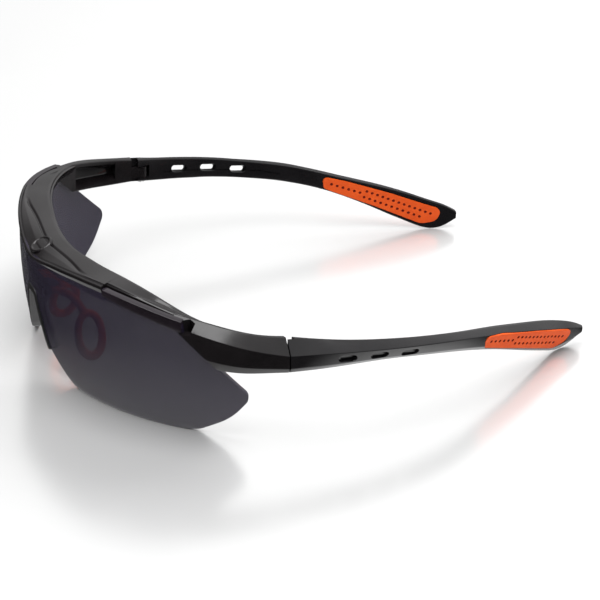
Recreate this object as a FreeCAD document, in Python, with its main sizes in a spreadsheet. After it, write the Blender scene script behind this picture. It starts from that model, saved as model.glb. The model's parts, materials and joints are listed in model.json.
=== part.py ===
import FreeCAD, Part
import math
import os

from FreeCAD import Placement, Rotation, Vector

# Wrap-around safety glasses, in millimetres.
# X runs towards the wearer's left, Y from the front of the lens to the temple tips, Z up.
# The origin is on the resting surface, under the middle of the whole object.
# Each part of the left side is modelled once, and mirrored in the YZ plane for the right side.

doc = FreeCAD.newDocument("SafetyGlasses")

SIZES = {
    "lens_radius": 73.6,
    "lens_bulge_radius": 140.0,
    "lens_thickness": 1.6,
    "lens_centre_y": -7.4,
    "lens_centre_height": 34.0,
    "lens_wrap_angle": 72.0,
    "rail_thickness": 0.6,
    "rail_front_angle": 29.0,
    "rail_rear_angle": 56.0,
    "notch_reach": 40.0,
    "overall_width": 142.0,
    "lip_proud": 0.5,
    "hinge_axis_x": 66.0,
    "hinge_axis_y": -23.2,
    "tongue_radius": 1.9,
    "tongue_bottom": 24.3,
    "tongue_height": 3.5,
    "tongue_length": 6.5,
    "hinge_clearance": 0.3,
    "hinge_room": 12.0,
    "ear_setback": 1.6,
    "screw_radius": 0.7,
    "screw_bottom": 22.6,
    "screw_length": 6.9,
    "screw_head_radius": 1.3,
    "screw_head_height": 0.9,
    "screw_slot_width": 0.4,
    "screw_running_gap": 0.05,
    "temple_thickness": 4.2,
    "slot_start_y": -9.7,
    "slot_pitch": 10.2,
    "slot_length": 4.8,
    "slot_height": 1.9,
    "slot_bevel": 0.7,
    "grip_depth": 0.5,
    "grip_proud": 0.35,
    "pad_ring_width": 2.3,
    "pad_thickness": 2.2,
    "roundel_radius": 3.3,
    "roundel_height": 0.3,
}

sheet = doc.addObject("Spreadsheet::Sheet", "Sizes")
for row, (alias, value) in enumerate(SIZES.items(), start=1):
    sheet.set(f"A{row}", alias)
    sheet.set(f"B{row}", str(value))
    sheet.setAlias(f"B{row}", alias)
doc.recompute()


def size(alias):
    return float(sheet.get(alias))


def feature(name, shape):
    obj = doc.addObject("Part::Feature", name)
    obj.Shape = shape
    return obj


def boolean(name, kind, base, tool):
    obj = doc.addObject("Part::" + kind, name)
    obj.Base = base
    obj.Tool = tool
    return obj


def fused(name, shapes):
    obj = doc.addObject("Part::MultiFuse", name)
    obj.Shapes = shapes
    return obj


def mirrored(name, source):
    obj = doc.addObject("Part::Mirroring", name)
    obj.Source = source
    obj.Normal = Vector(1, 0, 0)
    return obj


def rounded_wire(points, radii):
    """A closed wire through the points, with a tangent arc of the given radius at each corner."""
    edges = []
    count = len(points)
    starts = []
    ends = []
    arcs = []
    for i in range(count):
        corner = points[i]
        before = (points[i - 1] - corner).normalize()
        after = (points[(i + 1) % count] - corner).normalize()
        half = before.getAngle(after) / 2
        if radii[i] <= 0:
            starts.append(corner)
            ends.append(corner)
            arcs.append(None)
            continue
        run = radii[i] / math.tan(half)
        middle = (before + after).normalize()
        reach = radii[i] / math.sin(half) - radii[i]
        starts.append(corner + before * run)
        ends.append(corner + after * run)
        arcs.append(corner + middle * reach)
    for i in range(count):
        if arcs[i] is not None:
            edges.append(Part.Arc(starts[i], arcs[i], ends[i]).toShape())
        following = (i + 1) % count
        if ends[i].distanceToPoint(starts[following]) > 1e-6:
            edges.append(Part.LineSegment(ends[i], starts[following]).toShape())
    return Part.Wire(edges)


def side_face(corners):
    """A face in the YZ plane from (y, z, corner radius) rows."""
    points = [Vector(0, y, z) for y, z, _ in corners]
    return Part.Face(rounded_wire(points, [r for _, _, r in corners]))


def front_face(corners):
    """A face in the XZ plane from (x, z, corner radius) rows, closed by its own mirror image."""
    right = [(-x, z, r) for x, z, r in reversed(corners)]
    rows = corners + right
    points = [Vector(x, 0, z) for x, z, _ in rows]
    return Part.Face(rounded_wire(points, [r for _, _, r in rows]))


FRONT_START = -95.0


def across(name, face):
    """The face pushed out along X on both sides, as wide as the glasses."""
    obj = doc.addObject("Part::Extrusion", name)
    obj.Base = feature(name + "_outline", face)
    obj.DirMode = "Custom"
    obj.Dir = Vector(1, 0, 0)
    obj.Symmetric = True
    obj.Solid = True
    obj.setExpression("LengthFwd", "Sizes.overall_width + 20")
    return obj


def through(name, face, reach):
    """The face pushed back through the front of the glasses, as far as the reach."""
    face.translate(Vector(0, FRONT_START, 0))
    obj = doc.addObject("Part::Extrusion", name)
    obj.Base = feature(name + "_outline", face)
    obj.DirMode = "Custom"
    obj.Dir = Vector(0, 1, 0)
    obj.Solid = True
    obj.setExpression("LengthFwd", reach)
    return obj


def barrel_section(outer, inner, low, high):
    """Section of a barrel-shaped wall between two depths in from the lens's outer face."""
    bulge = size("lens_bulge_radius")
    middle_z = size("lens_centre_height")
    centre = size("lens_radius") - bulge

    def point(depth, z):
        r = centre + math.sqrt((bulge - depth) ** 2 - (z - middle_z) ** 2)
        return Vector(r, 0, z)

    edges = []
    for depth, first, last in ((outer, low, high), (inner, high, low)):
        arc = Part.Arc(point(depth, first), point(depth, (first + last) / 2), point(depth, last))
        edges.append(arc.toShape())
    edges.insert(1, Part.LineSegment(point(outer, high), point(inner, high)).toShape())
    edges.append(Part.LineSegment(point(inner, low), point(outer, low)).toShape())
    return Part.Face(Part.Wire(edges))


def barrel(name, outer, inner, low, high, first_angle, last_angle):
    """Barrel wall turned about the lens's upright axis, between two angles from straight ahead."""
    section = barrel_section(outer, inner, low, high)
    section.translate(Vector(0, size("lens_centre_y"), 0))
    axis_point = Vector(0, size("lens_centre_y"), 0)
    section.rotate(axis_point, Vector(0, 0, 1), first_angle - 90)
    obj = doc.addObject("Part::Revolution", name)
    obj.Source = feature(name + "_section", section)
    obj.Axis = Vector(0, 0, 1)
    obj.setExpression("Base.y", "Sizes.lens_centre_y")
    obj.Angle = last_angle - first_angle
    obj.Solid = True
    return obj


def spot(angle, depth, z):
    """A point given by its angle from straight ahead and its depth in from the lens's outer face."""
    r = size("lens_radius") - depth
    turn = math.radians(angle)
    return Vector(r * math.sin(turn), size("lens_centre_y") - r * math.cos(turn), z)


def loft(name, sections):
    """A smooth solid through closed sections that all have the same number of corners."""
    wires = [Part.makePolygon(list(points) + [points[0]]) for points in sections]
    return feature(name, Part.makeLoft(wires, True, False))


# The lens: a barrel-shaped wall cut to its side outline, with the nose cut-out and a lip at each
# side of the top edge.
RAIL_TOP = [(-71.3, 39.6), (-54.3, 36.0)]
RAIL_FOOT = [(-54.3, 33.2), (-71.3, 38.5)]


def lens_outline(grow):
    """Side outline of the lens, grown by a small clearance."""
    g = grow
    return [
        (-95.0, 0.0, 0),
        (-71.0, 0.0, 12),
        (-49.2, 0.4, 8),
        (-41.5, 6.2, 6),
        (-37.0 + g, 13.9, 2.8),
        (RAIL_FOOT[0][0] + g, RAIL_FOOT[0][1] + g, 0.3),
        (RAIL_TOP[1][0] + g, RAIL_TOP[1][1] + g, 0.3),
        (RAIL_TOP[0][0] - g, RAIL_TOP[0][1] + g, 0.2),
        (RAIL_TOP[0][0] - 0.2 - g, 40.4 + g, 0),
        (-95.0, 40.4 + g, 0),
    ]


def lens_crown(grow):
    """Front outline of the lens: its top edge dips at the middle, under the brow bar."""
    g = grow
    return [
        (4.0, 35.6 + g, 6),
        (15.0, 38.5 + g, 8),
        (26.0, 39.9 + g, 8),
        (38.0, 40.4 + g, 0),
        (80.0, 40.4 + g, 0),
        (80.0, -10.0, 0),
    ]


def lens_blank(name, outer, inner, grow):
    wrap = size("lens_wrap_angle")
    wall = barrel(name + "_wall", outer, inner, -3.0, 42.0, -wrap, wrap)
    sides = boolean(name + "_sides", "Common", wall, across(name + "_side", side_face(lens_outline(grow))))
    crown = through(name + "_crown", front_face(lens_crown(grow)), "100")
    return boolean(name, "Common", sides, crown)


NOTCH = [(2.9, 24.2, 2.2), (8.3, 8.9, 12), (20.5, -0.5, 14), (46.0, -0.5, 0), (46.0, -12.0, 0)]


def notch(name, inset):
    """The nose cut-out, narrowed by an inset, pushed back through the front of the lens."""
    rows = []
    for x, z, radius in NOTCH:
        rows.append((x - inset, z - (inset if z > 0 else 0), max(radius - inset, 0.6) if radius else 0))
    return through(name, front_face(rows), "Sizes.notch_reach")


def rail_lips():
    """The thickened lips on the outside of the lens's top edge, one on each side."""
    start = size("rail_front_angle")
    outline = [(y, z, 0.2) for y, z in RAIL_TOP + RAIL_FOOT]
    prism = across("rail_side", side_face(outline))
    lips = []
    for side, sign in (("left", 1), ("right", -1)):
        first, last = sorted((sign * start, sign * size("rail_rear_angle")))
        proud = -size("rail_thickness")
        wall = barrel("rail_wall_" + side, proud, 0.6, 30.0, 41.0, first, last)
        lips.append(boolean("rail_lip_" + side, "Common", wall, prism))
    return lips


lens_sheet = lens_blank("lens_sheet", 0.0, size("lens_thickness"), 0.0)
lens_cut = boolean("lens_cut", "Cut", lens_sheet, notch("lens_notch", 0.0))
lens = fused("lens", [lens_cut] + rail_lips())

# The brow bar: sections that stand on lines out from the lens's axis. Each row gives the angle,
# the height of the front lip, the bar's depth, the heights of its crest and rear edge, and how far
# its underside hangs.
BROW = [
    (0.0, 35.0, 10.9, 39.4, 38.7, 34.6),
    (12.0, 37.9, 10.6, 40.3, 39.1, 35.2),
    (21.0, 39.4, 9.7, 41.0, 40.0, 35.8),
    (29.0, 39.7, 8.8, 41.2, 40.2, 35.6),
    (40.0, 37.6, 7.3, 39.8, 38.8, 34.0),
    (52.0, 34.4, 4.0, 36.8, 36.0, 31.0),
]


def brow_section(angle, lip, depth, crest, rear, under):
    proud = -size("lip_proud")
    return [
        spot(angle, proud, lip),
        spot(angle, proud, lip + 1.0),
        spot(angle, depth * 0.30, lip + (crest - lip) * 0.72),
        spot(angle, depth * 0.68, crest),
        spot(angle, depth, rear),
        spot(angle, depth - 0.5, rear - 2.2),
        spot(angle, depth * 0.62, under + 1.2),
        spot(angle, size("lens_thickness") + 0.9, under),
        spot(angle, size("lens_thickness") - 0.6, under),
    ]


brow_rows = [(-row[0],) + row[1:] for row in reversed(BROW[1:])] + BROW
brow_bar = loft("brow_bar", [brow_section(*row) for row in brow_rows])

# The end pieces and the temples share one kind of section across Y: a top face that slopes out from
# the crest to the ridge, an outer face that leans in from the ridge to the foot, and a flat inside.
# Each row gives y, the x and z of the crest, of the ridge and of the foot, and the x of the inside.
END = [
    (-56.0, 52.5, 37.5, 56.2, 34.6, 57.0, 25.0, 51.6),
    (-48.5, 58.0, 36.0, 62.5, 32.9, 62.6, 23.4, 56.6),
    (-41.0, 62.0, 34.1, 66.1, 30.7, 66.0, 22.3, 60.6),
    (-33.0, 64.4, 32.4, 68.1, 28.5, 67.7, 21.8, 63.2),
    (-27.2, 65.4, 31.5, 69.0, 27.1, 68.7, 21.5, 63.8),
]


def arm_section(y, crest_x, crest_z, ridge_x, ridge_z, foot_x, foot_z, inside_x):
    edge = min(0.8, (crest_z - foot_z) * 0.1)
    inside_foot_z = foot_z + max(0.0, 0.6 * (foot_x - inside_x - 1.5))
    return [
        Vector(foot_x, y, foot_z + edge * 0.3),
        Vector(foot_x + 0.3 * (ridge_x - foot_x) + 0.3, y, foot_z + edge * 1.4),
        Vector(ridge_x, y, ridge_z),
        Vector(crest_x + 0.4, y, crest_z),
        Vector(inside_x + edge, y, crest_z),
        Vector(inside_x, y, crest_z - edge),
        Vector(inside_x, y, inside_foot_z + edge),
        Vector(inside_x + edge, y, inside_foot_z),
    ]


def hollow_section(y, crest_x, crest_z, ridge_x, ridge_z, foot_x, foot_z, inside_x):
    return [
        Vector(foot_x - 1.6, y, foot_z + 1.5),
        Vector(ridge_x - 1.6, y, ridge_z - 0.6),
        Vector(crest_x, y, crest_z - 1.6),
        Vector(inside_x - 3, y, crest_z - 1.6),
        Vector(inside_x - 3, y, foot_z + 4.0),
    ]


end_block = loft("end_block", [arm_section(*row) for row in END])
hollow = loft("end_hollow_core", [hollow_section(*row) for row in END[1:4]])
END_FRONT = [
    (-60.0, 42.0),
    (-60.0, 38.0),
    (-54.6, 34.0),
    (-44.0, 22.0),
    (-44.0, 10.0),
    (-20.0, 10.0),
    (-20.0, 42.0),
]
end_side = across("end_side", side_face([(y, z, 0) for y, z in END_FRONT]))
end_trim = boolean("end_trim", "Common", end_block, end_side)
end_shell = boolean("end_shell", "Cut", end_trim, hollow)

tongue = doc.addObject("Part::Cylinder", "tongue_eye")
tongue.setExpression("Radius", "Sizes.tongue_radius")
tongue.setExpression("Height", "Sizes.tongue_height")
tongue.setExpression("Placement.Base.x", "Sizes.hinge_axis_x")
tongue.setExpression("Placement.Base.y", "Sizes.hinge_axis_y")
tongue.setExpression("Placement.Base.z", "Sizes.tongue_bottom")
neck = doc.addObject("Part::Box", "tongue_neck")
neck.setExpression("Length", "Sizes.tongue_radius * 2 - 0.6")
neck.setExpression("Width", "Sizes.tongue_length")
neck.setExpression("Height", "Sizes.tongue_height")
neck.setExpression("Placement.Base.x", "Sizes.hinge_axis_x - Sizes.tongue_radius + 0.3")
neck.setExpression("Placement.Base.y", "Sizes.hinge_axis_y - Sizes.tongue_length")
neck.setExpression("Placement.Base.z", "Sizes.tongue_bottom")


def hinge_bore(name, gap):
    bore = doc.addObject("Part::Cylinder", name)
    bore.setExpression("Radius", f"Sizes.screw_radius + {gap}")
    bore.Height = 30
    bore.setExpression("Placement.Base.x", "Sizes.hinge_axis_x")
    bore.setExpression("Placement.Base.y", "Sizes.hinge_axis_y")
    bore.Placement.Base.z = 10
    return bore


end_solid = fused("end_solid", [end_shell, tongue, neck])
end_left = boolean("end_left", "Cut", end_solid, hinge_bore("tongue_bore", "Sizes.screw_running_gap"))
end_right = mirrored("end_right", end_left)

roundel = doc.addObject("Part::Cylinder", "roundel")
roundel.setExpression("Radius", "Sizes.roundel_radius")
roundel.setExpression("Height", "1.2 + Sizes.roundel_height")
roundel.Placement = Placement(Vector(0, -77.0, 37.2), Rotation(Vector(1, 0, 0), 22))

brow_solid = fused("brow_solid", [brow_bar, end_left, end_right, roundel])
lens_room = lens_blank("lens_room", -0.02, size("lens_thickness") + 0.1, 0.1)
rail_start = size("rail_front_angle") - 0.4
outside = barrel("outside_left", -6.0, size("lens_thickness") + 0.6, 15.0, 45.0, rail_start, 63.0)
OUTSIDE_WINDOW = [(-73.0, 45.0), (-73.0, 30.0), (-54.2, 30.0), (-53.8, 33.4), (-53.8, 45.0)]
outside_side = side_face([(y, z, 0) for y, z in OUTSIDE_WINDOW])
outside_cut = boolean("outside_cut", "Common", outside, across("outside_window", outside_side))
brow_one = boolean("brow_one", "Cut", brow_solid, lens_room)
brow_two = boolean("brow_two", "Cut", brow_one, outside_cut)
brow_frame = boolean("brow_frame", "Cut", brow_two, mirrored("outside_cut_right", outside_cut))

# The nose bridge: a band round the top of the nose cut-out that grips the lens on both faces, with
# a peg on each side for the pads.
grip_wall = barrel("bridge_wall", -0.35, size("lens_thickness") + 0.8, 9.5, 27.0, -20, 20)
bridge_outer = boolean("bridge_outer", "Common", grip_wall, notch("bridge_outer_cut", -1.0))
bridge_plate = barrel("bridge_plate", 1.0, 3.4, 19.5, 28.5, -6.0, 6.0)
bridge_blank = fused("bridge_blank", [bridge_outer, bridge_plate])
bridge_band = boolean("bridge_band", "Cut", bridge_blank, notch("bridge_inner_cut", 1.2))


def peg(name, sign):
    obj = doc.addObject("Part::Cylinder", name)
    obj.Radius = 1.0
    obj.Height = 4.0
    obj.Placement = Placement(Vector(sign * 6.0, -78.4, 25.0), Rotation(Vector(1, 0, 0), -90))
    return obj


bridge_solid = fused("bridge_solid", [bridge_band, peg("peg_left", 1), peg("peg_right", -1)])
nose_bridge = boolean("nose_bridge", "Cut", bridge_solid, lens_cut)

# The nose pads: an upright oval ring on an arm that reaches forward to the bridge's peg.
PAD_MIDDLE = (12.2, -66.8, 12.3)
PAD_HALF_DEPTH = 4.9
PAD_HALF_HEIGHT = 7.8
PAD_SPLAY = 20.0


def oval(half_y, half_z):
    ellipse = Part.Ellipse(Vector(0, 0, half_z), Vector(0, half_y, 0), Vector(0, 0, 0))
    return Part.Wire([ellipse.toShape()])


ring_face = Part.Face(oval(PAD_HALF_DEPTH, PAD_HALF_HEIGHT))
ring_width = size("pad_ring_width")
hole_face = Part.Face(oval(PAD_HALF_DEPTH - ring_width, PAD_HALF_HEIGHT - ring_width))
ring = ring_face.cut(hole_face).extrude(Vector(size("pad_thickness"), 0, 0))
ring.translate(Vector(-size("pad_thickness") / 2, 0, 0))
ring = ring.makeFillet(0.7, ring.Edges)
ring.rotate(Vector(0, 0, 0), Vector(0, 1, 0), -PAD_SPLAY)
ring.translate(Vector(*PAD_MIDDLE))
pad_ring = feature("pad_ring", ring)
arm_route = [Vector(6.0, -76.2, 25.0), Vector(7.0, -71.4, 24.0), Vector(9.6, -67.4, 19.0)]
arm_path = Part.Wire([Part.Arc(*arm_route).toShape()])
arm_tangent = arm_path.Edges[0].tangentAt(arm_path.Edges[0].FirstParameter)
arm_circle = Part.Wire([Part.makeCircle(1.25, arm_route[0], arm_tangent)])
pad_arm = feature("pad_arm", arm_path.makePipeShell([arm_circle], True, False))
pad_solid = fused("pad_solid", [pad_ring, pad_arm])
nose_pad_left = boolean("nose_pad_left", "Cut", pad_solid, nose_bridge)
nose_pad_right = mirrored("nose_pad_right", nose_pad_left)

# The temples: rows as for the end pieces, without the inside, which follows the ridge.
TEMPLE = [
    (-26.8, 65.4, 31.4, 69.0, 27.0, 68.7, 21.5),
    (-20.0, 65.9, 30.2, 69.9, 26.8, 68.7, 21.1),
    (-12.0, 66.5, 28.9, 70.7, 26.4, 68.6, 20.8),
    (3.0, 66.1, 26.6, 70.6, 25.0, 67.2, 19.8),
    (16.0, 64.8, 24.4, 68.9, 23.3, 65.6, 18.1),
    (30.0, 62.4, 21.9, 65.6, 21.0, 63.0, 15.6),
    (44.0, 57.3, 18.6, 60.1, 17.4, 58.5, 11.3),
    (56.0, 53.0, 15.6, 55.7, 14.2, 53.6, 6.4),
    (66.0, 48.7, 12.7, 51.5, 10.9, 48.8, 2.1),
    (73.0, 46.0, 10.2, 48.5, 8.5, 45.7, 0.0),
    (78.0, 44.8, 8.2, 46.6, 7.0, 44.3, 1.1),
    (81.5, 44.2, 6.2, 44.9, 5.6, 44.0, 3.3),
]


def inside_x(row):
    """The inside of the temple: thicker at the hinge, and drawn in to the blunt end of the tip."""
    y = row[0]
    share = (y - TEMPLE[0][0]) / (TEMPLE[-1][0] - TEMPLE[0][0])
    return row[3] - size("temple_thickness") - 1.0 * (1 - share) ** 8 + 2.3 * share**9


def face_x(row, z):
    """The outer face's x at a height: it leans in from the ridge to the foot."""
    _, _, _, ridge_x, ridge_z, foot_x, foot_z = row
    return ridge_x + (foot_x - ridge_x) * (ridge_z - z) / (ridge_z - foot_z)


def outer_layer(row, low, high):
    """Section of a layer between two depths in from the outer face."""
    y, top, under = row[0], row[2] + 1.0, row[6] - 1.0
    corners = [(low, under), (low, top), (high, top), (high, under)]
    return [Vector(face_x(row, z) - depth, y, z) for depth, z in corners]


def inner_layer(row, low, high):
    """Section of a layer between two depths in from the inside."""
    y, top, under = row[0], row[2] + 1.0, row[6] - 1.0
    corners = [(low, under), (low, top), (high, top), (high, under)]
    return [Vector(inside_x(row) + depth, y, z) for depth, z in corners]


temple_body = loft("temple_body", [arm_section(*row, inside_x(row)) for row in TEMPLE])

# Room for the frame's tongue between the temple's two ears, open to the inside and the front.
room = doc.addObject("Part::Box", "tongue_room")
room.setExpression("Length", "Sizes.hinge_room")
room.setExpression("Width", "Sizes.hinge_room")
room.setExpression("Height", "Sizes.tongue_height + 2 * Sizes.hinge_clearance")
room_reach = "Sizes.tongue_radius + Sizes.hinge_clearance - Sizes.hinge_room"
room.setExpression("Placement.Base.x", f"Sizes.hinge_axis_x + {room_reach}")
room.setExpression("Placement.Base.y", f"Sizes.hinge_axis_y + Sizes.hinge_clearance + {room_reach}")
room.setExpression("Placement.Base.z", "Sizes.tongue_bottom - Sizes.hinge_clearance")

# The ears are set back on the inside, so that their corners clear the end piece as they turn.
setback = doc.addObject("Part::Box", "ear_setback")
setback.setExpression("Length", "Sizes.hinge_room")
setback.setExpression("Width", "Sizes.hinge_room")
setback.Height = 40
setback.setExpression("Placement.Base.x", "Sizes.hinge_axis_x - Sizes.hinge_room")
setback.setExpression("Placement.Base.y", "Sizes.hinge_axis_y - Sizes.ear_setback - Sizes.hinge_room")

slots = []
for index, (height, outer_x) in enumerate(((24.3, 70.1), (23.3, 70.0), (21.8, 68.6))):
    y = size("slot_start_y") + index * size("slot_pitch")
    half_height = size("slot_height") / 2
    half_length = size("slot_length") / 2
    corners = [
        (y - half_length, height - half_height + 0.3, half_height * 0.9),
        (y + half_length, height - half_height - 0.3, half_height * 0.9),
        (y + half_length, height + half_height - 0.3, half_height * 0.9),
        (y - half_length, height + half_height + 0.3, half_height * 0.9),
    ]
    slots.append(across(f"slot_{index + 1}", side_face(corners)))
    for label, x in (("outer", outer_x), ("inner", outer_x - size("temple_thickness"))):
        bevel = doc.addObject("Part::Ellipsoid", f"slot_bevel_{label}_{index + 1}")
        bevel.setExpression("Radius1", "Sizes.slot_bevel")
        bevel.setExpression("Radius2", "Sizes.slot_height / 2 + Sizes.slot_bevel")
        bevel.setExpression("Radius3", "Sizes.slot_length / 2 + Sizes.slot_bevel")
        bevel.Placement = Placement(Vector(x, y, height), Rotation(Vector(0, 1, 0), 90))
        slots.append(bevel)

channel_outline = side_face(
    [(-15.5, 22.6, 1.2), (18.0, 19.9, 1.2), (27.0, 18.8, 0.3), (18.0, 22.0, 3), (-15.5, 26.6, 1.2)]
)
channel_band = loft("channel_band", [inner_layer(row, -2.0, 1.0) for row in TEMPLE])
channel = boolean("channel", "Common", channel_band, across("channel_side", channel_outline))

# The grips: the same outline on both faces of the tip, each sunk into the temple and standing a
# little proud of it.
GRIP = [
    (38.7, 13.9, 1.2),
    (38.3, 18.6, 1.4),
    (45.5, 17.0, 20),
    (60.0, 12.8, 20),
    (77.4, 6.9, 2.6),
    (75.2, 2.0, 3.0),
    (69.6, 1.3, 4),
    (54.0, 8.0, 30),
]


def grip(name, layer):
    """One grip: the layer on one face of the tip, cut to the grips' outline."""
    wall = loft(name + "_layer", [layer(row, -size("grip_proud"), size("grip_depth")) for row in TEMPLE])
    return boolean(name, "Common", wall, across(name + "_side", side_face(GRIP)))


grip_outer_left = grip("grip_outer_left", outer_layer)
grip_inner_left = grip("grip_inner_left", inner_layer)
grip_outer_right = mirrored("grip_outer_right", grip_outer_left)
grip_inner_right = mirrored("grip_inner_right", grip_inner_left)

# The hinge screw: a slotted head under the lower ear and a shank up through both ears.
shank = doc.addObject("Part::Cylinder", "screw_shank")
shank.setExpression("Radius", "Sizes.screw_radius")
shank.setExpression("Height", "Sizes.screw_length")
head = doc.addObject("Part::Cone", "screw_head")
head.setExpression("Radius1", "Sizes.screw_head_radius")
head.setExpression("Radius2", "Sizes.screw_radius")
head.setExpression("Height", "Sizes.screw_head_height")
for piece in (shank, head):
    piece.setExpression("Placement.Base.x", "Sizes.hinge_axis_x")
    piece.setExpression("Placement.Base.y", "Sizes.hinge_axis_y")
    piece.setExpression("Placement.Base.z", "Sizes.screw_bottom")
driver_slot = doc.addObject("Part::Box", "screw_driver_slot")
driver_slot.Length = 4
driver_slot.setExpression("Width", "Sizes.screw_slot_width")
driver_slot.Height = 0.5
driver_slot.setExpression("Placement.Base.x", "Sizes.hinge_axis_x - 2")
driver_slot.setExpression("Placement.Base.y", "Sizes.hinge_axis_y - Sizes.screw_slot_width / 2")
driver_slot.setExpression("Placement.Base.z", "Sizes.screw_bottom - 0.05")
screw_solid = fused("screw_solid", [shank, head])
hinge_screw_left = boolean("hinge_screw_left", "Cut", screw_solid, driver_slot)
hinge_screw_right = mirrored("hinge_screw_right", hinge_screw_left)

screw_well = doc.addObject("Part::Cylinder", "screw_well")
screw_well.setExpression("Radius", "Sizes.screw_head_radius")
screw_well.Height = 10
screw_well.setExpression("Placement.Base.x", "Sizes.hinge_axis_x")
screw_well.setExpression("Placement.Base.y", "Sizes.hinge_axis_y")
screw_well.setExpression("Placement.Base.z", "Sizes.screw_bottom - 10")

temple_tools = fused(
    "temple_tools",
    [room, setback, channel, screw_well, screw_solid, grip_outer_left, grip_inner_left] + slots,
)
temple_left = boolean("temple_left", "Cut", temple_body, temple_tools)
temple_right = mirrored("temple_right", temple_left)

NODES = [
    lens,
    brow_frame,
    nose_bridge,
    nose_pad_left,
    nose_pad_right,
    temple_left,
    temple_right,
    hinge_screw_left,
    hinge_screw_right,
    grip_outer_left,
    grip_outer_right,
    grip_inner_left,
    grip_inner_right,
]

doc.recompute()
for obj in doc.Objects:
    if "Invalid" in obj.State or "Error" in obj.State:
        raise RuntimeError(f"{obj.Label} failed to compute: {obj.State}")

os.makedirs("parts", exist_ok=True)
for node in NODES:
    node.Label = node.Name
    shape = node.Shape
    if shape.isNull() or not shape.isValid() or not shape.Solids:
        raise RuntimeError(f"{node.Label} has no valid solid")
    print(f"{node.Label}: {len(shape.Solids)} solid(s), {shape.Volume:.1f} mm3, {shape.BoundBox}")
    shape.exportStep(f"parts/{node.Label}.step")
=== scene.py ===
"""Looks of the wrap-around safety glasses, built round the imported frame.

Shapes are worked out in millimetres in the row's frame, and turned into metres as each mesh is
made. X runs to the wearer's left, Y from the lens to the temple tips, Z up. Each piece of the left
side is modelled once and mirrored in the YZ plane for the right side.
"""

import json
import math

import bmesh
import bpy
import numpy as np
from mathutils import Matrix, Vector


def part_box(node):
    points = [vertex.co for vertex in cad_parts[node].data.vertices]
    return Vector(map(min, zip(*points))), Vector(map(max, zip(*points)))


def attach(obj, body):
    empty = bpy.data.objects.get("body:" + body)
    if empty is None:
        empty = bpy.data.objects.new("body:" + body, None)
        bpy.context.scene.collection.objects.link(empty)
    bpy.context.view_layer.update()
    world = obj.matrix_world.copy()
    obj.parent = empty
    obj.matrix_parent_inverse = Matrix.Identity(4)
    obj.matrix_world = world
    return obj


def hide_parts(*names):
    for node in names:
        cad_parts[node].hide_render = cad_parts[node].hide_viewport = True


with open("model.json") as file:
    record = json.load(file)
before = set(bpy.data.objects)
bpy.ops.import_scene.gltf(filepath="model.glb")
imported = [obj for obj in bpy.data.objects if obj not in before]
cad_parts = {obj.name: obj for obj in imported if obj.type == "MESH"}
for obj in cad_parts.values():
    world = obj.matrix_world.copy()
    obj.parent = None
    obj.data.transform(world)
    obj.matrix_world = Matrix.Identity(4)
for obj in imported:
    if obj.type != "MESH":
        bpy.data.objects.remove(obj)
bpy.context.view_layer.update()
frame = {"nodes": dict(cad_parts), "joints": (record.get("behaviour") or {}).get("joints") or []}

MM = 0.001
FRONT, LEFT, RIGHT = "front_frame", "left_temple", "right_temple"
HINGE = next(Vector(j["pos_m"]) / MM for j in frame["joints"] if j["name"] == "left_hinge")

# The lens is part of a barrel: the radius at its widest height, the radius of its bulge, the height
# where it is widest and the y of its upright axis.
LENS_FRONT_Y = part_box("lens")[0].y / MM
LENS_RADIUS = 73.6
LENS_BULGE = 140.0
LENS_WIDEST_Z = 34.0
LENS_AXIS_Y = LENS_FRONT_Y + LENS_RADIUS
LENS_THICKNESS = 1.6

# Booleans fail on doubled vertices and on plates that thin out to nothing, so vertices closer than
# this are welded, and a plate keeps this least height at its pointed ends.
WELD = 0.004
LENS_LEAST_HEIGHT = 0.3
GRIP_LEAST_HEIGHT = 0.24


# ---------------------------------------------------------------- curves and sections


def spline(rows, at):
    """Values of a natural cubic spline through the rows, whose first column is the parameter."""
    table = np.array(rows, float)
    knots, values = table[:, 0], table[:, 1:]
    gaps = np.diff(knots)
    count = len(knots)
    system = np.eye(count)
    right_side = np.zeros_like(values)
    for i in range(1, count - 1):
        system[i, i - 1 : i + 2] = gaps[i - 1], 2 * (gaps[i - 1] + gaps[i]), gaps[i]
        rises = (values[i + 1] - values[i]) / gaps[i] - (values[i] - values[i - 1]) / gaps[i - 1]
        right_side[i] = 6 * rises
    bend = np.linalg.solve(system, right_side)
    at = np.clip(np.atleast_1d(at), knots[0], knots[-1])
    k = np.clip(np.searchsorted(knots, at) - 1, 0, count - 2)
    h = gaps[k][:, None]
    a = (knots[k + 1] - at)[:, None]
    b = (at - knots[k])[:, None]
    cubic = (bend[k] * a**3 + bend[k + 1] * b**3) / (6 * h)
    before = (values[k] / h - bend[k] * h / 6) * a
    after = (values[k + 1] / h - bend[k + 1] * h / 6) * b
    return cubic + before + after


def both_sides(rows):
    """Rows for both sides of the object, from the rows of the left side that start at zero."""
    return [(-row[0],) + tuple(row[1:]) for row in reversed(rows[1:])] + rows


def rounded(corners, steps=4, closed=True):
    """Points of a polygon or polyline of (a, b, radius) rows, with an arc at each corner.

    An arc takes up less than half of the edges beside it, whatever its radius.
    """
    points = []
    count = len(corners)
    most = 0.48
    for i, (a, b, radius) in enumerate(corners):
        corner = Vector((a, b))
        if not closed and i in (0, count - 1):
            points.append(corner)
            continue
        before = Vector(corners[i - 1][:2]) - corner
        after = Vector(corners[(i + 1) % count][:2]) - corner
        half = before.angle(after) / 2
        run = min(radius / math.tan(half), most * before.length, most * after.length)
        start = corner + before.normalized() * run
        end = corner + after.normalized() * run
        for step in range(steps + 1):
            t = step / steps
            first, middle, last = (1 - t) ** 2, 2 * t * (1 - t) * math.sin(half), t**2
            points.append((start * first + corner * middle + end * last) / (first + middle + last))
    return points


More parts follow.
